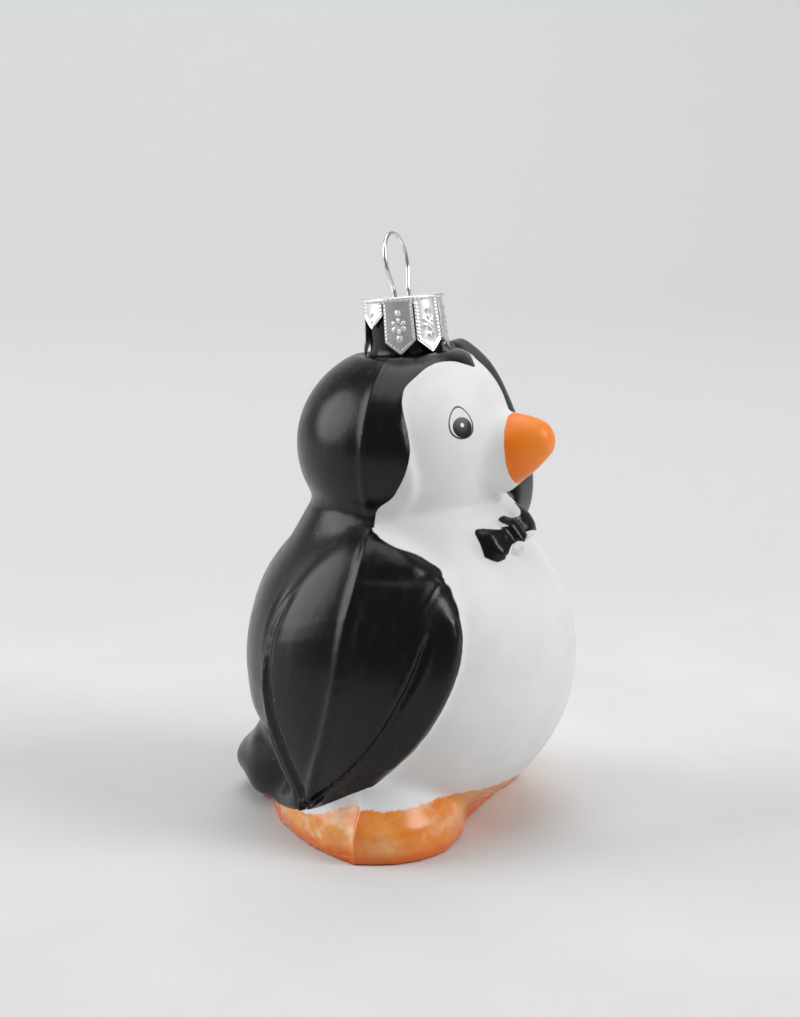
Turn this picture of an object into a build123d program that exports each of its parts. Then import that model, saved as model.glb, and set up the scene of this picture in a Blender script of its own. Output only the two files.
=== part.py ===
"""Penguin figurine: a blown-glass hanging ornament with a petalled crown cap and a spring-wire hanger.

Millimetres. The penguin stands on Z = 0, faces -Y, and its right side is at -X.
"""
import os
from math import cos, pi, radians, sin, sqrt, tan

from build123d import *

os.makedirs("parts", exist_ok=True)

# Glass wall and round body, which is flat where it meets the floor
wall = 1.0
body_radius = 24.6
body_sink = 0.4
shoulder_share = 0.683
collar_radius = 14.4
collar_rise = 6.4
collar_wall = 2.0

# Head, and the black hood that stands proud round its back
head_radius = 15.9
head_height = 14.6
head_y = 0.9
head_rise = 8.1
ball_flat_angle = 74.0
hollow_flat_angle = 55.0
hood_radius = 16.5
hood_height = 14.6
hood_forward = 0.7
hood_brow_y = -4.2
hood_cheek_y = -5.8
hood_nape_y = -0.2

# Neck, which leans a little back and to the left, on a flat seat pressed into the crown
neck_radius = 5.3
neck_y = -0.7
neck_lean_back = 7.0
neck_lean_left = 3.5
seat_height = 12.9
seat_radius = 7.0

# Beak
beak_base_radius = 6.9
beak_tip_radius = 1.8
beak_tip_round = 2.2
beak_root_y = -13.0
beak_tip_y = -21.8
beak_drop = 0.3
beak_rise = 14.0

# Right wing at rest, a leaf on a skin that hangs straighter than the body
wing_proud = 1.0
wing_skin_top_radius = 14.7
wing_skin_foot_radius = 18.5
wing_skin_foot_z = 3.0
feather_step = 0.6
wing_drop = 1.6
wing_front_y = -15.2
wing_tip_y = 11.4
wing_tip_z = 4.2
wing_rear_y = 14.4
groove_y = -11.4
seam_y = 0.8

# Left wing, raised beside the head
raised_root_drop = 5.0
raised_front_y = -13.7
raised_tip_y = -2.5
raised_tip_rise = 13.9
raised_rear_y = 7.0
raised_inner_x = 8.6
raised_outer_x = 19.6
raised_curve = 32.0
raised_round = 2.2

# Tail
tail_root_y = 15.0
tail_middle_y = 24.5
tail_tip_y = 28.8
tail_root_width = 24.0
tail_middle_width = 16.0
tail_tip_width = 7.0
tail_root_height = 15.6
tail_middle_height = 9.6
tail_tip_height = 4.0
tail_tip_z = 4.9
tail_lift = 0.8

# Feet: a lobe each side with an upright edge and a sloping instep, joined behind under the tail
foot_edge_height = 4.6
foot_edge_draft = 4.0
foot_height = 12.0
instep_draft = 37.0
foot_side_x = 27.2
foot_side_y = -1.8
foot_toe_x = 13.5
foot_toe_y = -12.8
foot_notch_x = 4.0
foot_notch_y = -10.6
foot_notch_round = 2.0
foot_heel_y = 22.0

# Bow tie in relief, a little off the middle and askew
tie_x = -2.6
tie_drop = 3.1
tie_tilt = 10.0
tie_top_reach = 5.8
tie_foot_reach = 6.8
tie_top_half = 1.9
tie_foot_half = 2.5
tie_waist_half = 1.1
tie_corner = 0.8
knot_half_width = 1.6
knot_half_height = 1.8
knot_corner = 1.1
tie_relief = 1.2
knot_relief = 2.0

# Crown cap
cap_sheet = 0.35
cap_height = 8.2
cap_clearance = 0.25
cap_flare = 0.55
cap_edge_round = 0.3
petal_clearance = 0.4
petal_count = 8
petal_turn = 13.8
petal_gap = 0.5
petal_root = 1.7
petal_point = 1.7
petal_tip_width = 0.5

# Hanger wire
wire_radius = 0.3
wire_hole_clearance = 0.15
leg_spacing = 5.4
leg_length = 13.0
leg_spread = 7.0
loop_width = 8.6
loop_height = 9.5
loop_shoulder = 1.0
loop_bend = 1.2
wire_lean = 5.0

body_centre_z = body_radius - body_sink
shoulder_z = body_centre_z + shoulder_share * body_radius
collar_z = shoulder_z + collar_rise
head_z = collar_z + head_rise
beak_z = head_z - beak_drop
tie_z = collar_z - tie_drop
wing_top_z = collar_z - wing_drop
raised_root_z = shoulder_z - raised_root_drop
raised_tip_z = head_z + raised_tip_rise

skirt_inner = neck_radius + cap_clearance
skirt_outer = skirt_inner + cap_sheet
skirt_foot = skirt_outer + cap_flare
# The petals' points end just above the crown's seat, and the neck's rim carries the cap's plate
cap_foot = seat_height + petal_clearance
cap_top = cap_foot + cap_height
neck_length = cap_top - cap_sheet

neck_foot = Vector(0, neck_y, head_z)
neck_up = Vector(tan(radians(neck_lean_left)), tan(radians(neck_lean_back)), 1).normalized()
neck_across = Vector(1, 0, -tan(radians(neck_lean_left))).normalized()
neck_forward = neck_across.cross(neck_up)
neck_plane = Plane(origin=neck_foot, x_dir=neck_across, z_dir=neck_up)
neck_axis = Axis(neck_foot, neck_up)
# Upright sheet through the neck's axis: its Y runs up the neck and its normal points forward
neck_sheet = Plane(origin=neck_foot, x_dir=neck_across, z_dir=neck_forward)

# The wire's sheet leans back about the line through the cap's two holes
hinge_height = neck_length + cap_sheet / 2
wire_up = neck_up * cos(radians(wire_lean)) - neck_forward * sin(radians(wire_lean))
wire_forward = neck_forward * cos(radians(wire_lean)) + neck_up * sin(radians(wire_lean))
wire_foot = neck_foot + (neck_up - wire_up) * hinge_height
wire_sheet = Plane(origin=wire_foot, x_dir=neck_across, z_dir=wire_forward)


def turned_sheet(turn):
    """The neck's sheet, turned about the neck's axis."""
    across = neck_across * cos(turn) - neck_forward * sin(turn)
    outward = neck_across * sin(turn) + neck_forward * cos(turn)
    return Plane(origin=neck_foot, x_dir=across, z_dir=outward)


def body_form(inset):
    """Round body with sloping shoulders, taken in by the inset all round."""
    radius = body_radius - inset
    shoulder_radius = sqrt(radius**2 - (shoulder_z - body_centre_z) ** 2)
    sole_radius = sqrt(radius**2 - (body_centre_z - inset) ** 2)
    with BuildPart() as form:
        with BuildSketch(Plane.XZ):
            with BuildLine():
                sole = (sole_radius, inset)
                shoulder = (shoulder_radius, shoulder_z)
                collar = (collar_radius - inset, collar_z)
                ThreePointArc(sole, (radius, body_centre_z), shoulder)
                Polyline(shoulder, collar, (0, collar_z), (0, inset), sole)
            make_face()
        revolve(axis=Axis.Z)
    return form.part


def body_hollow():
    """Inside of the body, which stops short of the crease under the head."""
    with BuildPart() as form:
        add(body_form(wall))
        split(bisect_by=Plane.XY.offset(collar_z - collar_wall), keep=Keep.BOTTOM)
    return form.part


def ball_form(centre_y, radius, height, flat_angle):
    """Ball on the head's centre, wider than it is tall, cut flat where the neck and the body cover it."""
    centre = (0, centre_y, head_z)
    with BuildPart() as form:
        with BuildSketch(Plane(origin=centre, x_dir=(1, 0, 0), z_dir=(0, -1, 0))):
            with BuildLine():
                side = EllipticalCenterArc(
                    (0, 0), radius, height, start_angle=-flat_angle, arc_size=2 * flat_angle
                )
                Polyline(side @ 1, (0, (side @ 1).Y), (0, (side @ 0).Y), side @ 0)
            make_face()
        revolve(axis=Axis(centre, (0, 0, 1)))
    return form.part


def hood_form():
    """Larger ball round the head, cut back to the hood's front edge as seen from the side."""
    with BuildPart() as form:
        add(ball_form(head_y - hood_forward, hood_radius, hood_height, ball_flat_angle))
        with BuildSketch(Plane.YZ):
            with BuildLine():
                crown = (hood_brow_y - hood_radius / 4, head_z + 0.87 * hood_height)
                brow = (hood_brow_y, head_z + 0.65 * hood_height)
                cheek = (hood_cheek_y, head_z + 0.1 * hood_height)
                nape = (hood_nape_y, head_z - 0.6 * hood_height)
                under = (hood_nape_y, head_z - 2 * hood_height)
                Spline(crown, brow, cheek, nape)
                Polyline(nape, under, (-2 * hood_radius, under[1]), (-2 * hood_radius, crown[1]), crown)
            make_face()
        extrude(amount=2 * hood_radius, both=True, mode=Mode.SUBTRACT)
    return form.part


def beak_form(inset):
    """Blunt cone that points forward and a little up, taken in by the inset all round."""
    rise_sin = sin(radians(beak_rise))
    rise_cos = cos(radians(beak_rise))
    root = (0, beak_root_y, beak_z)
    reach = (beak_root_y - beak_tip_y) / rise_cos
    taper = (beak_base_radius - beak_tip_radius) / reach
    side_inset = inset * sqrt(1 + taper**2)
    tip_radius = beak_tip_radius + inset * taper - side_inset
    with BuildPart() as form:
        with BuildSketch(Plane(origin=root, x_dir=(1, 0, 0), z_dir=(0, -rise_sin, -rise_cos))) as outline:
            with BuildLine():
                tip = (tip_radius, reach - inset)
                Polyline((0, 0), (beak_base_radius - side_inset, 0), tip, (0, reach - inset), close=True)
            make_face()
            fillet(outline.vertices().sort_by(Axis.X)[-2], beak_tip_round - inset)
        revolve(axis=Axis(root, (0, -rise_cos, rise_sin)))
    return form.part


def wing_skin(proud):
    """Round skin that the resting wing's feathers lie on."""
    with BuildPart() as form:
        with BuildSketch(Plane.XZ):
            with BuildLine():
                top = (wing_skin_top_radius + proud, collar_z)
                foot = (wing_skin_foot_radius + proud, wing_skin_foot_z)
                ThreePointArc(top, (body_radius + wing_proud + proud, body_centre_z), foot)
                Polyline(foot, (0, wing_skin_foot_z), (0, collar_z), top)
            make_face()
        revolve(axis=Axis.Z)
    return form.part


def wing_height(share):
    """Height of a point this share of the way up the resting wing."""
    return wing_tip_z + share * (wing_top_z - wing_tip_z)


def right_wing_form():
    """Leaf of feathers on the right side, with a proud middle feather."""
    top = (seam_y, wing_top_z)
    tip = (wing_tip_y, wing_tip_z)
    with BuildPart() as leaf:
        with BuildSketch(Plane.YZ):
            with BuildLine():
                Spline(
                    top,
                    (0.7 * wing_front_y, wing_height(0.87)),
                    (wing_front_y, wing_height(0.66)),
                    (0.83 * wing_front_y, wing_height(0.41)),
                    (0.13 * wing_front_y, wing_height(0.13)),
                    tip,
                )
                Spline(tip, (wing_rear_y, wing_height(0.53)), (0.78 * wing_rear_y, wing_height(0.78)), top)
            make_face()
        extrude(amount=2 * body_radius, dir=(-1, 0, 0))
        add(wing_skin(feather_step), mode=Mode.INTERSECT)
    with BuildPart() as middle:
        with BuildSketch(Plane.YZ):
            with BuildLine():
                Spline(
                    top,
                    (0.82 * groove_y, wing_height(0.86)),
                    (groove_y, wing_height(0.69)),
                    (0.9 * groove_y, wing_height(0.57)),
                    (0.45 * groove_y, wing_height(0.33)),
                    tip,
                )
                Spline(tip, (4 * seam_y, wing_height(0.33)), (seam_y, wing_height(0.7)), top)
            make_face()
        extrude(amount=2 * body_radius, dir=(-1, 0, 0))
        add(wing_skin(2 * feather_step), mode=Mode.INTERSECT)
    with BuildPart() as wing:
        add(leaf.part)
        add(middle.part)
    return wing.part


def raised_height(share):
    """Height of a point this share of the way up the raised wing."""
    return raised_root_z + share * (raised_tip_z - raised_root_z)


def raised_wing_form():
    """Leaf of the left wing, lifted so that it lies along the side of the head."""
    root_front = (0.5 * raised_front_y, raised_root_z)
    root_rear = (0.5 * raised_rear_y, raised_root_z)
    tip = (raised_tip_y, raised_tip_z)
    with BuildPart() as form:
        with BuildSketch(Plane.YZ.offset(raised_inner_x)):
            with BuildLine():
                Spline(
                    root_front,
                    (raised_front_y, raised_height(0.33)),
                    (0.73 * raised_front_y, raised_height(0.68)),
                    (0.54 * raised_front_y, raised_height(0.85)),
                    tip,
                )
                Spline(
                    tip,
                    (0.75 * raised_rear_y, raised_height(0.73)),
                    (raised_rear_y, raised_height(0.4)),
                    root_rear,
                )
                Line(root_rear, root_front)
            make_face()
        extrude(amount=2 * raised_outer_x, dir=(1, 0, 0))
        with Locations((raised_outer_x - raised_curve, raised_tip_y, raised_height(0.5))):
            Sphere(raised_curve, mode=Mode.INTERSECT)
        fillet(form.faces().filter_by(GeomType.SPHERE).edges().filter_by(GeomType.BSPLINE), raised_round)
    return form.part


def tail_form():
    """Blunt tail that sweeps back and down to the floor."""
    with BuildPart() as form:
        with BuildSketch(Plane.XZ.offset(-tail_root_y)):
            with Locations((0, tail_root_height / 2 + tail_lift)):
                Ellipse(tail_root_width / 2, tail_root_height / 2)
        with BuildSketch(Plane.XZ.offset(-tail_middle_y)):
            with Locations((0, tail_middle_height / 2 + tail_lift)):
                Ellipse(tail_middle_width / 2, tail_middle_height / 2)
        with BuildSketch(Plane.XZ.offset(-tail_tip_y)):
            with Locations((0, tail_tip_z)):
                Ellipse(tail_tip_width / 2, tail_tip_height / 2)
        loft()
    return form.part


def sole_outline(shrink):
    """Plan of both feet, drawn in by the shrink."""
    heel = (0, foot_heel_y)
    corner = (-foot_side_x, foot_side_y)
    toe = (-foot_toe_x, foot_toe_y)
    notch = (-foot_notch_x, foot_notch_y)
    with BuildSketch() as sole:
        with BuildLine():
            ThreePointArc(heel, (-0.66 * foot_side_x, 0.55 * foot_heel_y), corner)
            side = ThreePointArc(corner, (-0.88 * foot_side_x, 0.7 * foot_toe_y), toe)
            TangentArc(toe, notch, tangent=side % 1)
            Line(notch, (0, foot_notch_y))
            mirror(about=Plane.YZ)
        make_face()
        between_toes = sole.vertices().filter_by(lambda v: v.Y < 0 and abs(v.X) < foot_toe_x / 2)
        fillet(between_toes.filter_by(lambda v: abs(v.X) > foot_notch_x / 2), foot_notch_round)
        if shrink > 0:
            offset(amount=-shrink, mode=Mode.REPLACE)
    return sole.sketch


def feet_form(inset):
    """Both feet on one flat sole, taken in by the inset."""
    edge_height = foot_edge_height - inset
    edge_shrink = 1.4 * inset
    instep_shrink = edge_shrink + edge_height * tan(radians(foot_edge_draft))
    with BuildPart() as form:
        with BuildSketch(Plane.XY.offset(inset)):
            add(sole_outline(edge_shrink))
        extrude(amount=edge_height, taper=foot_edge_draft)
        with BuildSketch(Plane.XY.offset(foot_edge_height)):
            add(sole_outline(instep_shrink))
        extrude(amount=foot_height - foot_edge_height - inset, taper=instep_draft)
    return form.part


def bow_tie_form():
    """Two lobes and a knot that stand out of the chest."""
    tilt = radians(tie_tilt)
    front = Plane(origin=(tie_x, 0, tie_z), x_dir=(cos(tilt), 0, sin(tilt)), z_dir=(0, -1, 0))
    with BuildPart() as lobes:
        with BuildSketch(front) as outline:
            with BuildLine():
                Polyline(
                    (0, tie_waist_half),
                    (tie_top_reach, tie_top_half),
                    (tie_foot_reach, -tie_foot_half),
                    (0, -tie_waist_half),
                )
                mirror(about=Plane.YZ)
            make_face()
            ends = outline.vertices().group_by(Axis.X)
            fillet(ends[0] + ends[1] + ends[-2] + ends[-1], tie_corner)
        extrude(amount=2 * body_radius)
        add(body_form(-tie_relief), mode=Mode.INTERSECT)
    with BuildPart() as knot:
        with BuildSketch(front):
            RectangleRounded(2 * knot_half_width, 2 * knot_half_height, knot_corner)
        extrude(amount=2 * body_radius)
        add(body_form(-knot_relief), mode=Mode.INTERSECT)
    with BuildPart() as tie:
        add(lobes.part)
        add(knot.part)
    return tie.part


# Glass body: one hollow shell, open at the neck
with BuildPart() as glass_body:
    add(body_form(0))
    add(ball_form(head_y, head_radius, head_height, ball_flat_angle))
    add(hood_form())
    with BuildSketch(neck_plane.offset(seat_height)):
        Circle(seat_radius)
    extrude(amount=hood_height, mode=Mode.SUBTRACT)
    add(beak_form(0))
    add(right_wing_form())
    add(raised_wing_form())
    add(tail_form())
    add(feet_form(0))
    add(bow_tie_form())
    with BuildSketch(neck_plane):
        Circle(neck_radius)
    extrude(amount=neck_length)
    add(body_hollow(), mode=Mode.SUBTRACT)
    add(ball_form(head_y, head_radius - wall, head_height - wall, hollow_flat_angle), mode=Mode.SUBTRACT)
    add(beak_form(wall), mode=Mode.SUBTRACT)
    add(feet_form(wall), mode=Mode.SUBTRACT)
    with BuildSketch(neck_plane):
        Circle(neck_radius - wall)
    extrude(amount=neck_length, mode=Mode.SUBTRACT)

# Crown cap: the plate rests on the neck's rim, and the skirt is cut into pointed petals
petal_half_pitch = skirt_foot * tan(pi / petal_count) - petal_tip_width / 2
with BuildPart() as crown_cap:
    with BuildSketch(neck_sheet):
        with BuildLine():
            Polyline(
                (0, neck_length),
                (skirt_inner, neck_length),
                (skirt_foot - cap_sheet, cap_foot),
                (skirt_foot, cap_foot),
                (skirt_outer, cap_top),
                (0, cap_top),
                close=True,
            )
        make_face()
    revolve(axis=neck_axis)
    fillet(crown_cap.edges().filter_by(GeomType.CIRCLE).sort_by(neck_axis)[-1], cap_edge_round)
    for petal in range(petal_count):
        with BuildSketch(turned_sheet((petal + 0.5) * 2 * pi / petal_count + radians(petal_turn))):
            with BuildLine():
                Polyline(
                    (-petal_gap / 2, cap_top - petal_root),
                    (petal_gap / 2, cap_top - petal_root),
                    (petal_gap / 2, cap_foot + petal_point),
                    (petal_half_pitch, cap_foot),
                    (petal_half_pitch, cap_foot - petal_point),
                    (-petal_half_pitch, cap_foot - petal_point),
                    (-petal_half_pitch, cap_foot),
                    (-petal_gap / 2, cap_foot + petal_point),
                    close=True,
                )
            make_face()
        extrude(amount=2 * skirt_outer, mode=Mode.SUBTRACT)
    with BuildSketch(neck_plane.offset(neck_length)):
        with GridLocations(leg_spacing, 0, 2, 1):
            Circle(wire_radius + wire_hole_clearance)
    extrude(amount=cap_sheet, mode=Mode.SUBTRACT)

# Hanger wire: a loop over the cap, and two legs that pass its holes and spread inside the neck
loop_half = loop_width / 2 - wire_radius
loop_crown = cap_top + loop_height - wire_radius
loop_spring = loop_crown - loop_half
with BuildPart() as hanger_wire:
    with BuildLine(wire_sheet) as path:
        FilletPolyline(
            (-leg_spread / 2, neck_length - leg_length),
            (-leg_spacing / 2, neck_length - loop_shoulder),
            (-leg_spacing / 2, cap_top + loop_shoulder),
            (-loop_half, loop_spring - loop_bend),
            (-loop_half, loop_spring),
            radius=loop_bend,
        )
        ThreePointArc((-loop_half, loop_spring), (0, loop_crown), (loop_half, loop_spring))
        FilletPolyline(
            (loop_half, loop_spring),
            (loop_half, loop_spring - loop_bend),
            (leg_spacing / 2, cap_top + loop_shoulder),
            (leg_spacing / 2, neck_length - loop_shoulder),
            (leg_spread / 2, neck_length - leg_length),
            radius=loop_bend,
        )
    with BuildSketch(Plane(origin=path.line @ 0, z_dir=path.line % 0)):
        Circle(wire_radius)
    sweep(path=path.line)

glass_body.part.label = "glass_body"
crown_cap.part.label = "crown_cap"
hanger_wire.part.label = "hanger_wire"
export_step(glass_body.part, "parts/glass_body.step")
export_step(crown_cap.part, "parts/crown_cap.step")
export_step(hanger_wire.part, "parts/hanger_wire.step")
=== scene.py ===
"""Looks of the blown-glass penguin figurine: painted glass body, stamped crown cap and wire hanger."""
from math import atan, cos, exp, hypot, pi, radians, sin, tan

import bmesh
import bpy
import numpy as np
from mathutils import Matrix, Vector


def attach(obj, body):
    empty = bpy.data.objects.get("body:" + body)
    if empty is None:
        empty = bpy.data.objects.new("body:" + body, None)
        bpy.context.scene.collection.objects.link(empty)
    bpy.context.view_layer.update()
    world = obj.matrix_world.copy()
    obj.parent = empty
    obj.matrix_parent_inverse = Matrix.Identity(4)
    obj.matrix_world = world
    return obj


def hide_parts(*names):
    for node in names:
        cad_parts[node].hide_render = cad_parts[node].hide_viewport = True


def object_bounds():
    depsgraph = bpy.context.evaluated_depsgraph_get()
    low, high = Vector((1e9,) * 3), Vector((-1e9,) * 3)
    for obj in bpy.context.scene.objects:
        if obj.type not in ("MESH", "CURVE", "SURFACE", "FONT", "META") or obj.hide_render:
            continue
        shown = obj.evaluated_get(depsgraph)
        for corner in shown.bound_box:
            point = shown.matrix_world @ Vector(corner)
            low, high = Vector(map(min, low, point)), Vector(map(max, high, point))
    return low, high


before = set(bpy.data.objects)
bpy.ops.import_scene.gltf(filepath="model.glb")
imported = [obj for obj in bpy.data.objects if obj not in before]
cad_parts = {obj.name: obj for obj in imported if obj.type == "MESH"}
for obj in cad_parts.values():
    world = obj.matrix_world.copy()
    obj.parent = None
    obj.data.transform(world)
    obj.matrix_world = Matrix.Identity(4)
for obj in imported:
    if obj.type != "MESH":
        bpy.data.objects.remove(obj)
cad_box = [list(corner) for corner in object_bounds()]
scene = bpy.context.scene
MM = 0.001

# Camera as in the photograph: 800 x 1017 pixels, 2297 pixels of focal length
EYE = Vector((-0.3060, -0.1236, 0.1197))
AIM = Vector((-0.0006, 0.0015, 0.0456))

# Neck's axis, along which the cap and the wire sit
NECK_FOOT = Vector((0, -0.7, 55.5)) * MM
NECK_UP = Vector((tan(radians(3.5)), tan(radians(7.0)), 1)).normalized()
NECK_ACROSS = Vector((1, 0, -tan(radians(3.5)))).normalized()
NECK_BACK = NECK_UP.cross(NECK_ACROSS)

# Forms of the glass, in millimetres
HEAD_CENTRE = np.array((0, 0.9, 55.5))
HEAD_RADII = np.array((15.9, 15.9, 14.6))
BODY_CENTRE = np.array((0, 0, 24.2))
BODY_RADIUS = 24.6
CREASE_Z = 46.4
BEAK_ROOT = np.array((0, -13.0, 55.2))
BEAK_RISE = radians(14.0)
TIE_CENTRE = np.array((-2.6, 44.3))
TIE_TILT = radians(10.0)

# Melting of the glass: the mesh's grain, the plug in the head's hollow, and steps of the wing's saddle
MELT_GRAIN = 0.48
PLUG_CENTRE = (0, 0.9, 61.9)
PLUG_FOOT_RADIUS = 14.1
PLUG_TOP_RADIUS = 13.3
PLUG_DEPTH = 1.4
SADDLE_STEPS = (25, 27, 29, 31, 33, 35)

# Edge of the white face on the penguin's right, from the widow's peak down to the nape
FACE_EDGE = (
    (-0.2, -9.9, 67.4), (-3.5, -7.7, 68.5), (-6.8, -5.6, 68.2), (-10.8, -3.9, 66.1), (-12.4, -3.7, 64.5),
    (-13.4, -4.2, 62.7), (-14.1, -5.2, 59.8), (-14.7, -5.8, 57.2), (-15.4, -5.6, 54.9), (-15.2, -3.6, 50.9),
    (-14.6, -0.4, 47.0), (-9.0, -2.0, 40.0), (0, -4.0, 38.0),
)
# Lines seen from the side, as (y, z): edges of the black paint, and ridges and grooves of the wings
WING_EDGE = (
    (-0.4, 47.5), (-1.2, 45.6), (-7.2, 43.2), (-11.0, 40.5), (-12.7, 38.3), (-14.5, 34.4), (-15.1, 29.1),
    (-12.9, 21.7), (-8.8, 15.7), (-4.0, 10.9), (-2.1, 9.9), (4.7, 6.2), (8.4, 4.6), (14.0, 2.6),
    (20.0, 0.6), (32.0, -1.0),
)
BACK_EDGE = (
    (-8.0, 47.5), (-7.0, 42.0), (-2.0, 34.0), (3.4, 24.0), (7.0, 14.0), (10.0, 7.0), (14.0, 2.6),
    (20.0, 0.6), (32.0, -1.0),
)
SEAM_EDGE = (
    (-0.6, 46.0), (-0.8, 41.7), (-0.5, 37.3), (0.2, 32.5), (0.9, 25.0), (2.8, 17.8), (5.8, 10.1), (8.2, 5.0),
)
GROOVE_EDGE = ((-11.7, 33.7), (-10.6, 28.6), (-8.7, 24.0), (-5.4, 18.2), (0.3, 11.6), (8.2, 5.0))
REAR_EDGE = ((8.8, 39.0), (11.4, 35.7), (13.4, 31.2), (13.8, 26.3), (13.1, 19.5), (11.2, 13.2), (8.8, 4.6))
SHOULDER_RIDGE = ((-11.6, 39.6), (-11.0, 38.0), (-10.3, 36.0))
RAISED_GROOVES = (
    ((-9.0, 44.0), (-9.2, 50.0), (-7.4, 58.0), (-4.4, 65.5)),
    ((-3.2, 43.0), (-3.4, 52.0), (-3.2, 60.0), (-2.8, 67.0)),
    ((3.4, 44.0), (3.2, 52.0), (1.6, 60.0), (-1.2, 66.5)),
)
# Bow tie about its own middle, as (outward, up)
TIE_LOBE = (
    (0.0, 0.9), (2.6, 1.1), (5.0, 1.9), (6.0, 1.5), (7.0, -1.0), (7.3, -2.5), (6.8, -2.8), (5.2, -1.8),
    (2.8, -0.9), (0.0, -0.9),
)
KNOT = (
    (0.0, 1.9), (1.0, 1.6), (1.25, 0.0), (1.0, -1.6), (0.0, -1.9), (-1.0, -1.6), (-1.25, 0.0), (-1.0, 1.6),
)


def rounded(points, steps=6, closed=False):
    """Smooth line through a few points."""
    p = np.array(points, float)
    if closed:
        p = np.vstack((p[-1], p, p[0], p[1]))
    else:
        p = np.vstack((2 * p[0] - p[1], p, 2 * p[-1] - p[-2]))
    t = np.linspace(0, 1, steps, endpoint=False)[:, None]
    runs = []
    for a, b, c, d in zip(p, p[1:], p[2:], p[3:]):
        bend = (2 * a - 5 * b + 4 * c - d) * t**2
        twist = (3 * b - a - 3 * c + d) * t**3
        runs.append(0.5 * (2 * b + (c - a) * t + bend + twist))
    if not closed:
        runs.append(p[-2:-1])
    return np.vstack(runs)


def distance_to(points, line):
    """Distance from each point to a line, and the side it lies on: positive to the right of its run."""
    best = np.full(len(points), 1e9)
    side = np.ones(len(points))
    for a, b in zip(line, line[1:]):
        run = b - a
        along = np.clip((points - a) @ run / max(run @ run, 1e-12), 0, 1)
        off = points - a - along[:, None] * run
        dist = np.hypot(off[:, 0], off[:, 1])
        turn = off[:, 1] * run[0] - off[:, 0] * run[1]
        nearer = dist < best
        best = np.where(nearer, dist, best)
        side = np.where(nearer, np.where(turn <= 0, 1.0, -1.0), side)
    return best, side


def inside(points, ring):
    """Signed distance to a closed ring: positive inside."""
    loop = np.vstack((ring, ring[:1]))
    best, _ = distance_to(points, loop)
    hits = np.zeros(len(points), int)
    for a, b in zip(loop, loop[1:]):
        straddles = (a[1] > points[:, 1]) != (b[1] > points[:, 1])
        rise = b[1] - a[1] if b[1] != a[1] else 1e-12
        cross = a[0] + (points[:, 1] - a[1]) * (b[0] - a[0]) / rise
        hits += (straddles & (points[:, 0] < cross)).astype(int)
    return np.where(hits % 2 == 1, best, -best)


def face_map(points):
    """Flat map of the head seen from the front: equal steps of angle from the beak's direction."""
    ray = (points - HEAD_CENTRE) / HEAD_RADII
    ray /= np.linalg.norm(ray, axis=1)[:, None]
    off = np.arccos(np.clip(-ray[:, 1], -1, 1))
    ring = np.maximum(np.hypot(ray[:, 0], ray[:, 2]), 1e-6)
    return np.stack((ray[:, 0] / ring, ray[:, 2] / ring), 1) * off[:, None] * 15.5


def head_gap(p):
    return (np.linalg.norm((p - HEAD_CENTRE) / HEAD_RADII, axis=1) - 1) * 15.5


def body_gap(p):
    return np.linalg.norm(p - BODY_CENTRE, axis=1) - BODY_RADIUS


def beak_frame(p):
    """Distance along the beak's axis from its root, and distance from that axis."""
    off = p - BEAK_ROOT
    along = -off[:, 1] * cos(BEAK_RISE) + off[:, 2] * sin(BEAK_RISE)
    lift = off[:, 1] * sin(BEAK_RISE) + off[:, 2] * cos(BEAK_RISE)
    return along, np.hypot(off[:, 0], lift)


def tie_frame(p):
    """Place on the bow tie, as (outward, up) from its middle."""
    off = p[:, [0, 2]] - TIE_CENTRE
    out = off[:, 0] * cos(TIE_TILT) + off[:, 1] * sin(TIE_TILT)
    return np.stack((out, off[:, 1] * cos(TIE_TILT) - off[:, 0] * sin(TIE_TILT)), 1)


def neck_frame(p):
    """Height up the neck's axis, and distance from it."""
    off = p - np.array(NECK_FOOT) / MM
    height = off @ np.array(NECK_UP)
    return height, np.linalg.norm(off - height[:, None] * np.array(NECK_UP), axis=1)


def raised_gap(p):
    """Depth inside the raised wing: how far a point stands out of the head and the body there."""
    proud = np.minimum(head_gap(p), body_gap(p)) - 0.5
    return np.minimum(proud, np.minimum(p[:, 0] - 7.8, p[:, 2] - 36.0))


def smooth_bump(dist, width):
    return np.exp(-((dist / width) ** 2))


def fade(value, low, high):
    t = np.clip((value - low) / (high - low), 0, 1)
    return t * t * (3 - 2 * t)


def new_piece(name, bm):
    mesh = bpy.data.meshes.new(name)
    bm.to_mesh(mesh)
    bm.free()
    piece = bpy.data.objects.new(name, mesh)
    scene.collection.objects.link(piece)
    return piece


def coords(mesh):
    flat = np.empty(3 * len(mesh.vertices))
    mesh.vertices.foreach_get("co", flat)
    return flat.reshape(-1, 3)


def directions(mesh):
    flat = np.empty(3 * len(mesh.vertices))
    mesh.vertices.foreach_get("normal", flat)
    return flat.reshape(-1, 3)


def store(mesh, name, values):
    layer = mesh.attributes.new(name, "FLOAT", "POINT")
    layer.data.foreach_set("value", values.astype(np.float32))


def neck_matrix():
    """Places a shape made round Z, in metres, on the neck's axis."""
    turn = Matrix((NECK_ACROSS, NECK_BACK, NECK_UP)).transposed().to_4x4()
    return Matrix.Translation(NECK_FOOT) @ turn


# Painted glass body

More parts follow.
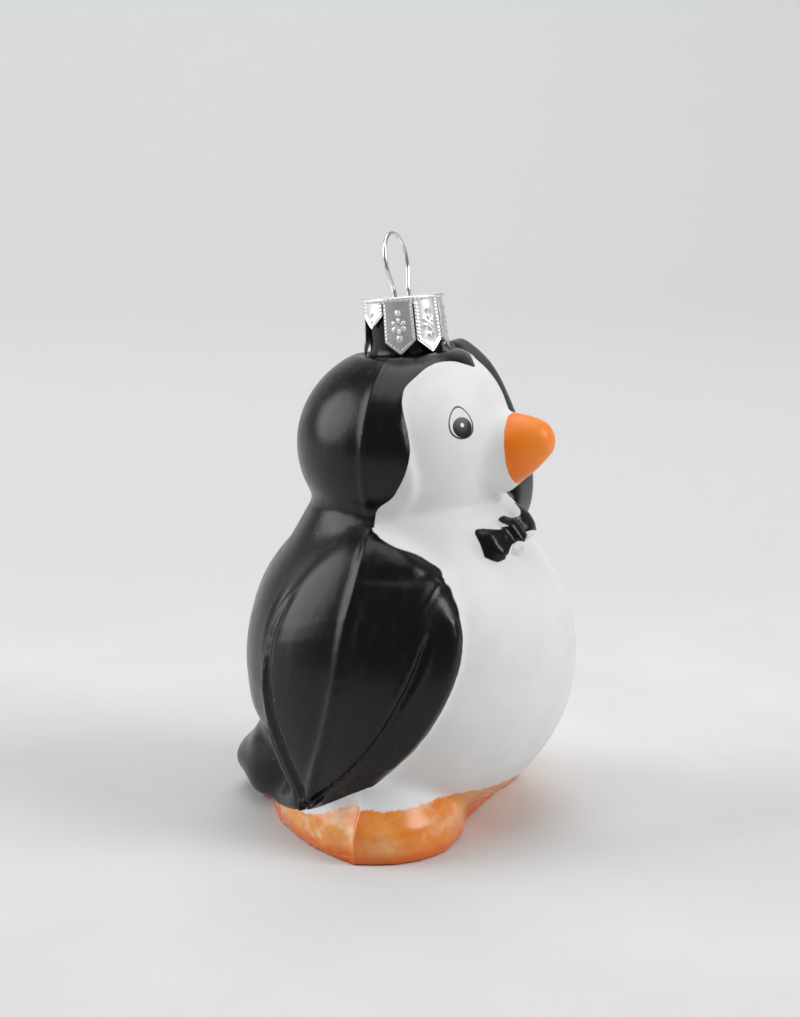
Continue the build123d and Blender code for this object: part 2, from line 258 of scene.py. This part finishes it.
def moulded_glass():
    """The glass, its steps melted into soft moulded ridges and its hidden hollow closed below the neck."""
    bm = bmesh.new()
    bm.from_mesh(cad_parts["glass_body"].data)
    bmesh.ops.remove_doubles(bm, verts=bm.verts, dist=1e-6)
    bmesh.ops.create_cone(
        bm, cap_ends=True, segments=64, radius1=PLUG_FOOT_RADIUS * MM, radius2=PLUG_TOP_RADIUS * MM,
        depth=PLUG_DEPTH * MM, matrix=Matrix.Translation(Vector(PLUG_CENTRE) * MM),
    )
    piece = new_piece("painted_glass", bm)
    remesh = piece.modifiers.new("melt", "REMESH")
    remesh.mode = "VOXEL"
    remesh.voxel_size = MELT_GRAIN * MM
    evaluated = piece.evaluated_get(bpy.context.evaluated_depsgraph_get())
    melted = bpy.data.meshes.new_from_object(evaluated)
    piece.modifiers.clear()
    piece.data = melted
    keep_outer_skin(melted)
    soften(melted, 5, lambda p: np.ones(len(p), bool))
    soften(melted, 14, chin_crease)
    soften(melted, 30, wing_shoulder)
    for low in SADDLE_STEPS:
        soften(melted, 26, lambda p: wing_saddle(p, low))
    soften(melted, 30, wing_tip_rear)
    soften(melted, 40, rump)
    soften(melted, 26, beak_root)
    soften(melted, 8, lambda p: raised_gap(p) > -1.0)
    soften(melted, 14, foot_join)
    soften(melted, 10, neck_root)
    return piece


# Places where the glass is smoothed further

def chin_crease(p):
    return (np.abs(p[:, 2] - 47.6) < 1.5) & (p[:, 0] < 9)


def wing_shoulder(p):
    return (p[:, 0] < -8) & (p[:, 2] > 35) & (p[:, 2] < 46.4)


def wing_saddle(p, low):
    return (p[:, 0] < -6) & (p[:, 2] > low - 0.25 * p[:, 1]) & (p[:, 2] < 46) & (p[:, 1] > -2)


def wing_tip_rear(p):
    return (p[:, 0] < -12) & (p[:, 2] < 22) & (p[:, 2] > 3) & (p[:, 1] > 8) & (p[:, 1] < 17)


def rump(p):
    return (p[:, 1] > 15) & (p[:, 2] > 9) & (p[:, 2] < 22)


def beak_root(p):
    along, out = beak_frame(p)
    return (along > -1.0) & (along < 4.2) & (out > 3.8) & (out < 9.5) & (p[:, 1] < -9)


def foot_join(p):
    return (p[:, 2] < 13.5) & (p[:, 2] > 2.5) & (body_gap(p) > -0.6)


def neck_root(p):
    height, out = neck_frame(p)
    return (out > 5.6) & (out < 9) & (height > 11)


def keep_outer_skin(mesh):
    """Drops the skins of the closed hollows, which nothing shows."""
    bm = bmesh.new()
    bm.from_mesh(mesh)
    waiting = [max(bm.verts, key=lambda v: v.co.y)]
    outer = set(waiting)
    while waiting:
        for edge in waiting.pop().link_edges:
            for vert in edge.verts:
                if vert not in outer:
                    outer.add(vert)
                    waiting.append(vert)
    bmesh.ops.delete(bm, geom=[v for v in bm.verts if v not in outer], context="VERTS")
    bm.to_mesh(mesh)
    bm.free()


def soften(mesh, rounds, chosen):
    """Smooths the part of the mesh that the choice picks."""
    bm = bmesh.new()
    bm.from_mesh(mesh)
    bm.verts.ensure_lookup_table()
    picked = [bm.verts[k] for k in np.flatnonzero(chosen(coords(mesh) / MM))]
    for _ in range(rounds):
        bmesh.ops.smooth_vert(bm, verts=picked, factor=0.5, use_axis_x=True, use_axis_y=True, use_axis_z=True)
    bm.to_mesh(mesh)
    bm.free()


def sculpt(piece):
    """Mould seams, feather ridges, tie folds, the full forehead and the belly's dimple."""
    mesh = piece.data
    p = coords(mesh) / MM
    n = directions(mesh)
    side = p[:, 1:3]
    push = np.zeros(len(p))

    on_head = (p[:, 2] > 47.5) & (neck_frame(p)[1] > 6.8)
    forehead = np.linalg.norm((p - np.array((2.0, -8.4, 67.0))) / np.array((11.0, 7.0, 6.0)), axis=1)
    push += np.where(on_head, 0.85 * smooth_bump(forehead, 1.0), 0)
    seam_head = smooth_bump(p[:, 1] - 0.7, 0.6) * fade(np.abs(p[:, 0]), 4, 8)
    push += np.where(on_head & (n[:, 2] > -0.6) & (p[:, 0] < 0), 0.34 * seam_head, 0)

    outer = (p[:, 0] < -8) & (n[:, 0] < -0.2) & (p[:, 2] < 46)
    seam, _ = distance_to(side, rounded(SEAM_EDGE))
    groove, _ = distance_to(side, rounded(GROOVE_EDGE))
    rear, _ = distance_to(side, rounded(REAR_EDGE))
    shoulder, _ = distance_to(side, rounded(SHOULDER_RIDGE))
    begin = fade(34.5 - p[:, 2], 0, 4)
    below = fade(38.5 - p[:, 2], 0, 7)
    bold = 0.45 + 0.55 * (fade(p[:, 2], 33, 37) + fade(16 - p[:, 2], 0, 4))
    push += np.where(outer, 0.58 * bold * smooth_bump(seam, 0.80) - 0.16 * smooth_bump(seam, 2.2), 0)
    groove_cut = 0.20 * smooth_bump(groove - 0.75, 0.4) - 0.55 * smooth_bump(groove, 0.42)
    push += np.where(outer, begin * groove_cut, 0)
    push += np.where(outer, below * (0.36 * smooth_bump(rear, 0.5) - 0.30 * smooth_bump(rear - 0.9, 0.5)), 0)
    push += np.where(outer, 0.40 * smooth_bump(shoulder, 0.9), 0)
    crease = smooth_bump(p[:, 2] - 40.5, 0.9) * fade(-p[:, 1], -1.0, 1.5) * fade(p[:, 1], -11.5, -9.0)
    push -= np.where(outer, 0.20 * crease, 0)

    raised_face = (p[:, 0] > 11) & (raised_gap(p) > 0.4) & (n[:, 0] > 0.2)
    for line in RAISED_GROOVES:
        line_off, _ = distance_to(side, rounded(line))
        push -= np.where(raised_face, 0.30 * smooth_bump(line_off, 0.5), 0)

    behind = p[:, 1] + 2.15
    low = fade(9.6 - p[:, 2], 0, 2.0) * fade(np.abs(p[:, 0]), 18, 21) * (n[:, 2] > -0.5)
    step_back = fade(behind, 0.0, 0.7) * (1 - fade(behind, 1.5, 6.0))
    push += low * (0.30 * smooth_bump(behind + 0.3, 0.5) - 0.90 * step_back)
    toe = np.linalg.norm((p - np.array((-23.5, -8.5, 4.2))) / np.array((6.0, 5.5, 3.4)), axis=1)
    push += np.where(n[:, 2] > -0.5, 0.30 * smooth_bump(toe, 1.0), 0)

    dimple = np.linalg.norm((p - np.array((-6.6, -19.6, 37.0))) / np.array((3.6, 4.0, 4.6)), axis=1)
    push -= 0.55 * smooth_bump(dimple, 1.0)
    dip = np.linalg.norm((p - np.array((0, 23.2, 14.4))) / np.array((11.0, 4.2, 4.4)), axis=1)
    push += 1.7 * smooth_bump(dip, 1.0)

    place = tie_frame(p)
    out = np.abs(place[:, 0])
    on_tie = (p[:, 1] < -9) & (head_gap(p) > 0.2) & (out < 7.6) & (np.abs(place[:, 1]) < 3.0)
    fold = smooth_bump(out - 1.75, 0.42) * smooth_bump(place[:, 1], 1.9)
    across_pleat = smooth_bump(place[:, 1] + 0.25 * (out - 4.0), 0.4)
    pleat = across_pleat * fade(out, 2.2, 3.2) * (1 - fade(out, 4.6, 6.0))
    puff = smooth_bump((out - 5.2) / 1.5, 1.0) * smooth_bump((place[:, 1] + 0.5) / 1.5, 1.0)
    under_knot = fade(-place[:, 1], 0.8, 1.6) * (1 - fade(out, 1.5, 2.1))
    far_lobe = fade(place[:, 0], 1.8, 3.2) * fade(body_gap(p), 0.4, 0.9)
    tie_relief = 0.36 * puff + 0.60 * far_lobe - 0.45 * fold - 0.16 * pleat - 0.70 * under_knot
    push += np.where(on_tie, tie_relief, 0)

    along, from_axis = beak_frame(p)
    on_beak = (p[:, 1] < -14) * (from_axis < 8)
    push += 0.28 * smooth_bump((along - 6.2) / 2.6, 1.0) * on_beak

    moved = p + push[:, None] * n
    moved[:, 2] += 0.5 * fade(along, 2.0, 8.0) * on_beak
    moved[:, 1] -= 1.0 * fade(p[:, 1], 21, 27) * fade(17 - p[:, 2], 0, 4)
    tail_reach = fade(p[:, 1], 12, 17) * (1 - fade(p[:, 1], 22, 27))
    moved[:, 2] -= 1.4 * tail_reach * fade(9.5 - p[:, 2], 0, 3) * (p[:, 2] > 0.3)
    far_toe = fade(p[:, 0], 4, 10) * fade(-p[:, 1], 5, 10) * fade(11 - p[:, 2], 0, 3) * (body_gap(p) > 0.1)
    moved[:, 1] += 1.3 * far_toe
    low_corner, high_corner = (np.array(corner) / MM for corner in cad_box)
    mesh.vertices.foreach_set("co", (np.clip(moved, low_corner, high_corner) * MM).ravel())
    mesh.update()


def mark_paint(piece):
    """Signed distances, in millimetres, to the edges of each paint: positive inside it."""
    mesh = piece.data
    p = coords(mesh) / MM
    near = np.array(FACE_EDGE, float)
    far = near[-2::-1] * np.array((-1, 1, 1))
    face = inside(face_map(p), rounded(face_map(np.vstack((near, far))), 6, closed=True))
    wing, wing_side = distance_to(p[:, 1:3], rounded(WING_EDGE))
    back, back_side = distance_to(p[:, 1:3], rounded(BACK_EDGE))
    wing_black = -wing * wing_side
    spread = 0.6 * fade(p[:, 2], 14, 20) * fade(38 - p[:, 2], 0, 6) * fade(-p[:, 0], 8, 12)
    wing_black = np.maximum(wing_black, np.minimum(wing_black + spread, body_gap(p) - 0.45))
    body_black = np.where(p[:, 0] < 0, wing_black, -back * back_side)
    black = np.where(p[:, 2] > CREASE_Z, -face, body_black)
    black = np.maximum(black, raised_gap(p))
    height, out = neck_frame(p)
    black = np.maximum(black, np.minimum(height - 11.5, 7.6 - out))

    place = tie_frame(p)
    lobes = inside(np.stack((np.abs(place[:, 0]), place[:, 1]), 1), rounded(TIE_LOBE, 5, True))
    knot = np.maximum(1.2 - np.hypot(place[:, 0], place[:, 1]), inside(place, rounded(KNOT, 4, True)))
    tie = np.maximum(lobes, knot)
    proud = np.minimum(body_gap(p) - 0.42, head_gap(p) - 0.9 - 0.7 * fade(place[:, 0], 0.5, 2.0))
    tie = np.where((p[:, 1] < -9) & (p[:, 2] < 48.5), np.minimum(tie + 0.12, proud), -5)

    along, out = beak_frame(p)
    beak = np.where((p[:, 1] < -12) & (out < 8), along - 3.3 - 0.11 * (p[:, 2] - 55.5), -5)
    edge = 7.4 - 3.1 * fade(p[:, 1], -2, 9) - 3.0 * fade(p[:, 1], 9, 19)
    feet = np.minimum(body_gap(p) + 0.3, edge - p[:, 2])
    store(mesh, "black", np.clip(black, -5, 5))
    store(mesh, "tie", np.clip(tie, -5, 5))
    store(mesh, "beak", np.clip(beak, -5, 5))
    store(mesh, "beak_along", along)
    store(mesh, "feet", np.clip(feet, -5, 5))


# Crown cap, made round Z in millimetres before it is set on the neck

CAP_FOOT = 13.3
CAP_TOP = 21.5
PETALS = 8
FIRST_PETAL = radians(193.8)
BENT_PETAL = 7


def petal_point(u, h, mid, length):
    """One point of a petal: u runs across it from -1 to 1 and h up it from 0 to 1."""
    half = 0.93 * pi / PETALS
    half_width = 2.3
    join = CAP_TOP - 0.45
    foot = CAP_TOP - length
    low = foot + 1.9 * abs(u)
    z = low + (join - low) * h
    turn = mid + u * half * (1 + 0.075 * max(0.0, h - 0.86) / 0.14)
    flare = 0.50 * (join - z) / (CAP_TOP - CAP_FOOT)
    from_side = (1 - abs(u)) * half_width
    from_foot = 0.77 * (z - low)
    edge = min(from_side, from_foot)
    along = z if from_side < from_foot else 1.3 * half_width * abs(u)
    rope = 0.17 * exp(-(((edge - 0.30) / 0.17) ** 2)) * (0.55 + 0.45 * cos(2 * pi * along / 0.52))
    lip = 0.10 * exp(-((edge / 0.09) ** 2))
    across = u * half_width
    rise = z - (CAP_FOOT + 4.15)
    reach = hypot(across, rise)
    ray = 0.5 + 0.5 * cos(6 * np.arctan2(across, rise))
    star = 0.24 * exp(-(((reach - 0.72) / 0.34) ** 2)) * ray**2 + 0.12 * exp(-((reach / 0.22) ** 2))
    dots = 0.26 * sum(exp(-((across**2 + (rise - d) ** 2) / 0.10)) for d in (-1.75, 1.85))
    field = fade(edge, 0.40, 0.62) * fade(CAP_TOP - 1.0 - z, 0.0, 0.5)
    radius = 5.68 + flare + rope + lip + field * (star + dots)
    return radius * cos(turn), radius * sin(turn), z


def petal_cap():
    """Stamped cap: a plate with a beaded rim and pointed petals with embossed stars, one bent short."""
    bm = bmesh.new()
    for k in range(PETALS):
        made = bmesh.ops.create_grid(bm, x_segments=42, y_segments=72, size=0.5)
        length = 4.3 if k == BENT_PETAL else CAP_TOP - CAP_FOOT
        for v in made["verts"]:
            v.co = Vector(petal_point(v.co.x * 2, v.co.y + 0.5, FIRST_PETAL + 2 * pi * k / PETALS, length))
    bmesh.ops.remove_doubles(bm, verts=bm.verts, dist=1e-4)
    bmesh.ops.recalc_face_normals(bm, faces=bm.faces)
    bmesh.ops.solidify(bm, geom=bm.faces, thickness=0.20)
    plate = [Vector((r, 0, CAP_TOP + z)) for r, z in (
        (0.001, -0.33), (5.35, -0.33), (5.72, -0.62), (5.90, -0.50), (5.97, -0.26), (5.88, -0.06),
        (5.60, -0.02), (5.25, -0.05), (4.90, -0.12), (4.20, -0.13), (0.001, -0.13),
    )]
    verts = [bm.verts.new(c) for c in plate]
    edges = [bm.edges.new(pair) for pair in zip(verts, verts[1:])]
    bmesh.ops.spin(
        bm, geom=verts + edges, cent=(0, 0, 0), axis=(0, 0, 1), angle=2 * pi, steps=96, use_merge=True,
    )
    bmesh.ops.remove_doubles(bm, verts=bm.verts, dist=2e-3)
    for k in range(56):
        turn = 2 * pi * k / 56
        bmesh.ops.create_icosphere(
            bm, subdivisions=2, radius=0.33,
            matrix=Matrix.Translation((5.68 * cos(turn), 5.68 * sin(turn), CAP_TOP - 0.34)),
        )
    bmesh.ops.recalc_face_normals(bm, faces=bm.faces)
    bmesh.ops.scale(bm, verts=bm.verts, vec=(MM, MM, MM))
    bmesh.ops.transform(bm, verts=bm.verts, matrix=neck_matrix())
    for face in bm.faces:
        face.smooth = True
    return new_piece("stamped_cap", bm)


glass = moulded_glass()
sculpt(glass)
mark_paint(glass)
glass.data.polygons.foreach_set("use_smooth", np.ones(len(glass.data.polygons), bool))
cap = petal_cap()


# Finishes

class Flow:
    """A value that runs through a material's nodes; arithmetic on it adds Math nodes."""

    def __init__(self, tree, socket):
        self.tree = tree
        self.socket = socket

    def node(self, kind, settings=None, values=None, output=0):
        made = self.tree.nodes.new("ShaderNode" + kind)
        for key, value in (settings or {}).items():
            setattr(made, key, value)
        for key, value in (values or {}).items():
            if isinstance(value, Flow):
                self.tree.links.new(value.socket, made.inputs[key])
            else:
                made.inputs[key].default_value = value
        return Flow(self.tree, made.outputs[output])

    def math(self, operation, *terms):
        return self.node("Math", {"operation": operation}, dict(enumerate(terms)))

    def __add__(self, other):
        return self.math("ADD", self, other)

    def __radd__(self, other):
        return self.math("ADD", other, self)

    def __sub__(self, other):
        return self.math("SUBTRACT", self, other)

    def __rsub__(self, other):
        return self.math("SUBTRACT", other, self)

    def __mul__(self, other):
        return self.math("MULTIPLY", self, other)

    def __rmul__(self, other):
        return self.math("MULTIPLY", other, self)

    def __truediv__(self, other):
        return self.math("DIVIDE", self, other)

    def __pow__(self, other):
        return self.math("POWER", self, other)

    def __abs__(self):
        return self.math("ABSOLUTE", self)

    def step(self, low, high):
        """0 below low, 1 above high, smooth between."""
        return self.node(
            "MapRange", {"interpolation_type": "SMOOTHSTEP"},
            {"Value": self, "From Min": low, "From Max": high, "To Min": 0.0, "To Max": 1.0},
        )

    def higher(self, other):
        return self.math("MAXIMUM", self, other)

    def mix(self, first, second):
        """Blend of two colours, with this value as the factor."""
        return self.node(
            "Mix", {"data_type": "RGBA"},
            {0: self, 6: tint(first), 7: tint(second)}, output=2,
        )


def tint(colour):
    return colour if isinstance(colour, Flow) else (*colour, 1.0)


def finish_of(name):
    """New material: its shader, a flow to start from, and its place on the object."""
    made = bpy.data.materials.new(name)
    made.use_nodes = True
    shader = made.node_tree.nodes["Principled BSDF"]
    start = Flow(made.node_tree, None)
    place = start.node("TexCoord", output="Object")
    return made, shader, start, place


def feed(shader, **values):
    for name, value in values.items():
        socket = shader.inputs[name.replace("_", " ")]
        if isinstance(value, Flow):
            value.tree.links.new(value.socket, socket)
        else:
            socket.default_value = value


def noise(start, place, size_mm, detail=3.0, stretch=(1, 1, 1), roughness=0.55):
    """Cloudy value around 0.5, with features about this many millimetres across."""
    moved = start.node("Mapping", None, {"Vector": place, "Scale": stretch})
    values = {"Vector": moved, "Scale": 1.0 / (size_mm * MM), "Detail": detail, "Roughness": roughness}
    return start.node("TexNoise", None, values)


def specks(start, place, spacing_mm, size):
    """Scattered round dots: 1 in a dot, 0 outside."""
    cell = start.node("TexVoronoi", None, {"Vector": place, "Scale": 1.0 / (spacing_mm * MM)})
    return 1 - cell.step(size * 0.7, size)


def painted_glass_finish():
    made, shader, start, place = finish_of("painted_glass")
    paint = {}
    for name in ("black", "tie", "beak", "beak_along", "feet"):
        paint[name] = start.node("Attribute", {"attribute_name": name}, output="Fac")
    wobble = noise(start, place, 2.2) - 0.5
    ragged = noise(start, place, 1.1, 4.0) - 0.5
    streak = noise(start, place, 1.6, 5.0, (1, 1, 0.14))
    cloud = noise(start, place, 7.0, 4.0)
    grain = noise(start, place, 0.35, 3.0)

    separate = start.node("SeparateXYZ", None, {0: place}).socket.node
    x, y, z = (Flow(made.node_tree, separate.outputs[k]) * 1000.0 for k in range(3))

    white = cloud.step(0.3, 0.75).mix((0.80, 0.80, 0.79), (0.85, 0.85, 0.845))
    rub = streak.step(0.5, 0.8)
    black = (rub * 0.6).mix((0.0036, 0.0036, 0.0039), (0.010, 0.010, 0.0108))
    # Painted glints: scattered grey dots on the black paint stand in for tiny sparkles of light.
    painted_glint = specks(start, place, 2.6, 0.055) * cloud.step(0.55, 0.62)
    black = (painted_glint * 0.75).mix(black, (0.45, 0.45, 0.44))

    patch = noise(start, place, 4.2, 4.0, (1, 1, 1.6))
    sole = cloud.step(0.35, 0.65).mix((0.86, 0.25, 0.030), (0.92, 0.38, 0.085))
    heelward = y.step(-2.4, -1.8)
    sole = (patch.step(0.47, 0.66) * (heelward * 0.45 + 0.40)).mix(sole, (0.92, 0.62, 0.38))
    seam = y.step(-4.6, -2.6) * (1 - heelward)
    sole = (seam * 0.65).mix(sole, (0.80, 0.17, 0.014))
    deep = noise(start, place, 2.4, 4.0).step(0.55, 0.75)
    sole = (deep * 0.6).mix(sole, (0.78, 0.14, 0.012))
    # Painted shade: the feet's orange turns darker within about 2 mm of the floor, where they meet it.
    sole = ((2.4 - z + wobble * 2.0).step(0.0, 1.9) * 0.85).mix(sole, (0.74, 0.115, 0.006))
    bill = paint["beak_along"].step(3.0, 9.0).mix((0.96, 0.205, 0.008), (0.97, 0.27, 0.03))
    # Painted shade: the beak's orange is darkened towards its underside.
    under = (55.2 - z).step(0.0, 3.2)
    bill = (under * 0.75).mix(bill, (0.82, 0.20, 0.006))
    bill = (patch.step(0.52, 0.7) * 0.30).mix(bill, (0.97, 0.42, 0.08))

    on_feet = (paint["feet"] + ragged * 1.2).step(-0.14, 0.20)
    on_black = (paint["black"] + wobble * 0.14).step(-0.06, 0.06)
    on_tie = (paint["tie"] + wobble * 0.12).step(-0.05, 0.05)
    on_beak = (paint["beak"] + wobble * 0.40).step(-0.06, 0.06)

    # Eyes: an egg-shaped line, a black pupil and a glint, on both sides of the beak
    eye = Vector((8.9, -11.5, 59.9))
    out = (eye - Vector(HEAD_CENTRE)).normalized()
    ahead = Vector((0, 0, 1)).cross(out).normalized()
    up = out.cross(ahead).normalized()
    du = abs(x) - eye.x
    dv = y - eye.y
    dw = z - eye.z
    across = du * ahead.x + dv * ahead.y + dw * ahead.z
    rise = du * up.x + dv * up.y + dw * up.z
    depth = du * out.x + dv * out.y + dw * out.z
    near = depth.step(-3.0, -2.6)
    low_rise = rise - 0.2
    pupil = (across * across / 2.56 + low_rise * low_rise / 2.2) ** 0.5
    on_pupil = (1 - (pupil + wobble * 0.05).step(0.96, 1.03)) * near
    shift = across - 0.15
    tall = rise - 0.92
    taper = 1.0 - tall * 0.11
    egg = (shift * shift / (taper * taper * 3.6) + tall * tall / 5.1) ** 0.5
    ink = abs(egg - 1.0 + wobble * 0.06)
    on_line = (1 - ink.step(0.035, 0.075)) * near
    glint_at = ((across - 0.02) * (across - 0.02) + (rise - 0.55) * (rise - 0.55)) ** 0.5
    on_glint = (1 - glint_at.step(0.26, 0.34)) * near

    colour = on_feet.mix(white, sole)
    colour = on_black.mix(colour, black)
    colour = on_tie.mix(colour, black)
    colour = on_beak.mix(colour, bill)
    colour = on_line.mix(colour, (0.03, 0.03, 0.032))
    colour = on_pupil.mix(colour, (0.008, 0.008, 0.009))
    colour = on_glint.mix(colour, (0.86, 0.86, 0.86))

    dark = on_black.higher(on_tie)
    rough = 0.50 - dark * (0.25 - rub * 0.12 - cloud.step(0.5, 0.8) * 0.06)
    rough = rough - on_feet * 0.24 - on_beak * 0.14 - on_pupil * 0.25
    film = dark * streak * 0.5 + on_feet * patch * 0.6 + grain * 0.10
    lines = start.node("Bump", None, {"Height": film, "Strength": 0.35, "Distance": 0.00018})
    feed(shader, Base_Color=colour, Roughness=rough, Normal=lines, Coat_Weight=on_feet * 0.4)
    shader.inputs["Coat Roughness"].default_value = 0.22
    shader.inputs["Specular IOR Level"].default_value = 0.34
    return made


def stamped_silver_finish():
    made, shader, start, place = finish_of("stamped_silver")
    grain = noise(start, place, 0.5, 4.0)
    cloud = noise(start, place, 2.5, 3.0)
    colour = cloud.step(0.35, 0.7).mix((0.86, 0.86, 0.87), (0.94, 0.94, 0.95))
    feed(
        shader, Base_Color=colour, Roughness=grain * 0.16 + 0.30, Metallic=1.0,
        Normal=start.node("Bump", None, {"Height": grain, "Strength": 0.15, "Distance": 0.00006}),
    )
    return made


def bright_wire_finish():
    made, shader, start, place = finish_of("bright_wire")
    draw = noise(start, place, 0.3, 3.0, (1, 1, 0.05))
    colour = draw.step(0.3, 0.8).mix((0.70, 0.70, 0.71), (0.86, 0.86, 0.87))
    feed(shader, Base_Color=colour, Roughness=draw * 0.15 + 0.14, Metallic=1.0)
    return made


glass.data.materials.clear()
glass.data.materials.append(painted_glass_finish())
cap.data.materials.append(stamped_silver_finish())
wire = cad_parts["hanger_wire"]
wire.material_slots[0].material = bright_wire_finish()

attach(glass, "figurine")
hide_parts("glass_body")
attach(cap, "cap")
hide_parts("crown_cap")


# Studio: a pale sweep of floor and backdrop, soft light from above and from the right

AWAY = Vector((AIM.x - EYE.x, AIM.y - EYE.y, 0)).normalized()
SWEEP_START = 0.55
SWEEP_RADIUS = 0.40


def pale_sweep():
    """Flat floor that turns up behind the figurine in a wide round curve."""
    bm = bmesh.new()
    made = bmesh.ops.create_grid(bm, x_segments=8, y_segments=80, size=0.5)
    across = AWAY.cross(Vector((0, 0, 1)))
    for v in made["verts"]:
        run = -0.8 + 3.2 * (v.co.y + 0.5)
        turn = min(max(run - SWEEP_START, 0.0) / SWEEP_RADIUS, pi / 2)
        reach = min(run, SWEEP_START) + SWEEP_RADIUS * sin(turn)
        climb = SWEEP_RADIUS * (1 - cos(turn)) + max(0.0, run - SWEEP_START - SWEEP_RADIUS * pi / 2)
        v.co = across * (v.co.x * 5.0) + AWAY * reach + Vector((0, 0, climb))
    bmesh.ops.recalc_face_normals(bm, faces=bm.faces)
    for face in bm.faces:
        face.smooth = True
    sweep = new_piece("pale_sweep", bm)
    made, shader, start, place = finish_of("pale_sweep")
    weave = noise(start, place, 30.0, 3.0)
    depth = start.node("VectorMath", {"operation": "DOT_PRODUCT"}, {0: place, 1: AWAY}, output="Value")
    cloth = weave.step(0.3, 0.8).mix((0.66, 0.66, 0.66), (0.70, 0.70, 0.70))
    # Painted shade: the floor turns a darker grey from 6 to 16 cm behind the figurine, standing in for the
    # dimmer backdrop.
    shade = depth.step(0.06, 0.16).mix(cloth, (0.62, 0.625, 0.63))
    feed(shader, Base_Color=shade, Roughness=0.85)
    sweep.data.materials.append(made)


def soft_light(name, place, power, size, target=(0, 0, 0.04)):
    lamp = bpy.data.lights.new(name, "AREA")
    lamp.shape = "DISK"
    lamp.size = size
    lamp.energy = power
    holder = bpy.data.objects.new(name, lamp)
    holder.location = place
    holder.rotation_euler = (Vector(target) - Vector(place)).to_track_quat("-Z", "Y").to_euler()
    scene.collection.objects.link(holder)


pale_sweep()
soft_light("window", (0.08, -0.84, 0.62), 5.6, 0.6)
soft_light("bounce", (-0.28, 0.92, 0.50), 7.0, 0.9)
soft_light("top", (-0.05, 0.05, 1.0), 3.2, 0.8)
soft_light("backdrop", AWAY * 0.45 + Vector((0, 0, 0.80)), 2.2, 0.6, AWAY * 0.80 + Vector((0, 0, 0.10)))

world = bpy.data.worlds.new("soft_room")
world.use_nodes = True
world.node_tree.nodes["Background"].inputs["Color"].default_value = (0.95, 0.97, 1.0, 1.0)
world.node_tree.nodes["Background"].inputs["Strength"].default_value = 0.18
scene.world = world
scene.view_settings.view_transform = "Standard"

lens = bpy.data.cameras.new("photo_camera")
lens.sensor_fit = "VERTICAL"
lens.angle = 2 * atan(508.5 / 2297)
lens.clip_start = 0.01
camera = bpy.data.objects.new("photo_camera", lens)
camera.location = EYE
camera.rotation_euler = (AIM - EYE).to_track_quat("-Z", "Y").to_euler()
scene.collection.objects.link(camera)
scene.camera = camera
